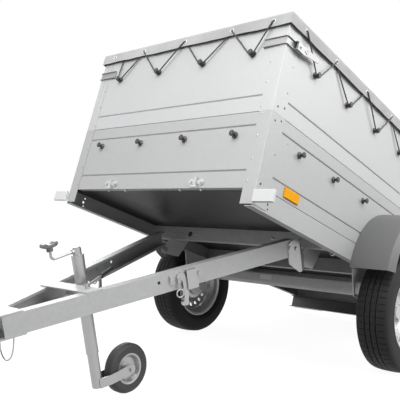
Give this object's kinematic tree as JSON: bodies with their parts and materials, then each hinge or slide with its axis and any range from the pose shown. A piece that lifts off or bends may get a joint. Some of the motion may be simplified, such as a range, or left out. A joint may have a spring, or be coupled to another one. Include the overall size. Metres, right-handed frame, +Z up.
{
  "type": "utility trailer",
  "caption": "Single-axle utility trailer: tipping steel box with extension boards and tarpaulin, hinged A-shaped drawbar and jack wheel.",
  "frame": {"origin": "on the floor, under the middle of the whole length and width", "axes": "+Z up, +Y towards the tail, +X towards the trailer's left side"},
  "size_m": [1.51, 3.1896, 1.5141],
  "materials": {
    "galvanised_sheet": "satin zinc-aluminium coated sheet",
    "floor_board": "dark phenolic-faced plywood",
    "tarp_grey": "grey coated tarpaulin",
    "elastic_black": "braided elastic cord",
    "black_plastic": "moulded, matt",
    "zinc_plated": "bright zinc plated",
    "galvanised_steel": "hot-dip galvanised steel, matt",
    "guard_grey": "moulded, mid grey",
    "lamp_red": "red lamp lens",
    "reflector_amber": "amber reflector",
    "marker_white": "white marker housing",
    "plate_white": "blank plate",
    "rim_silver": "silver painted rim",
    "tyre": "road tyre",
    "cable_steel": "wire cable"
  },
  "bodies": {
    "drawbar": {"drawbar_arm_left": "galvanised_steel", "drawbar_arm_right": "galvanised_steel", "pivot_plates": "galvanised_steel", "lock_brackets": "zinc_plated", "bridge_plates": "galvanised_steel", "coupling": "zinc_plated", "coupling_handle": "black_plastic", "safety_cable": "cable_steel", "jack_clamp": "zinc_plated", "clamp_lever": "zinc_plated", "clamp_grip": "black_plastic"},
    "bed": {"side_rail_left": "galvanised_sheet", "side_rail_right": "galvanised_sheet", "cross_members": "galvanised_sheet", "bed_floor": "floor_board", "front_board": "galvanised_sheet", "side_board_left": "galvanised_sheet", "side_board_right": "galvanised_sheet", "lower_posts": "galvanised_sheet", "extension_front": "galvanised_sheet", "extension_rear": "galvanised_sheet", "extension_left": "galvanised_sheet", "extension_right": "galvanised_sheet", "upper_posts": "galvanised_sheet", "tarp": "tarp_grey", "tarp_lacing": "elastic_black", "tarp_hooks": "black_plastic", "front_hinges": "zinc_plated", "corner_latches": "zinc_plated", "tailgate_leaves": "zinc_plated", "pivot_brackets": "galvanised_steel", "axle_tube": "galvanised_steel", "axle_plates": "galvanised_steel", "swing_arm_left": "galvanised_steel", "swing_arm_right": "galvanised_steel", "mudguard_left": "guard_grey", "mudguard_right": "guard_grey", "light_beam": "galvanised_sheet", "rear_lamps": "lamp_red", "side_reflectors": "reflector_amber", "front_markers": "marker_white"},
    "tailgate": {"tailgate": "galvanised_sheet", "tailgate_straps": "zinc_plated", "tailgate_hooks": "black_plastic", "number_plate": "plate_white"},
    "wheel_left": {"wheel_rim_left": "rim_silver", "wheel_tyre_left": "tyre"},
    "wheel_right": {"wheel_rim_right": "rim_silver", "wheel_tyre_right": "tyre"},
    "jack_tube": {"jack_tube": "zinc_plated", "jack_crank": "zinc_plated", "jack_knob": "black_plastic"},
    "jack_leg": {"jack_leg": "zinc_plated"},
    "jack_wheel": {"jack_rim": "zinc_plated", "jack_tyre": "tyre"}
  },
  "joints": [
    {"name": "bed_tip", "type": "hinge", "parent": "drawbar", "child": "bed", "pos_m": [0, -0.1326, 0.52545], "axis": [1, 0, 0], "range_deg": [0, 29.56]},
    {"name": "wheel_left_spin", "type": "hinge", "parent": "bed", "child": "wheel_left", "pos_m": [0.652, 0.34229, 0.2735], "axis": [1, 0, 0], "continuous": true},
    {"name": "wheel_right_spin", "type": "hinge", "parent": "bed", "child": "wheel_right", "pos_m": [-0.652, 0.34229, 0.2735], "axis": [1, 0, 0], "continuous": true},
    {"name": "jack_slide", "type": "slide", "parent": "drawbar", "child": "jack_tube", "axis": [0, -0.1951, 0.9808], "range_m": [-0.05, 0.2]},
    {"name": "jack_swivel", "type": "hinge", "parent": "jack_tube", "child": "jack_leg", "pos_m": [0, -0.9545, 0.36196], "axis": [0, -0.1951, 0.9808], "continuous": true},
    {"name": "jack_wheel_spin", "type": "hinge", "parent": "jack_leg", "child": "jack_wheel", "pos_m": [0, -0.74945, 0.1], "axis": [1, 0, 0], "continuous": true},
    {"name": "tailgate_fold", "type": "hinge", "parent": "bed", "child": "tailgate", "pos_m": [0, 1.36694, 0.17091], "axis": [-1, 0, 0], "range_deg": [0, 90]}
  ]
}
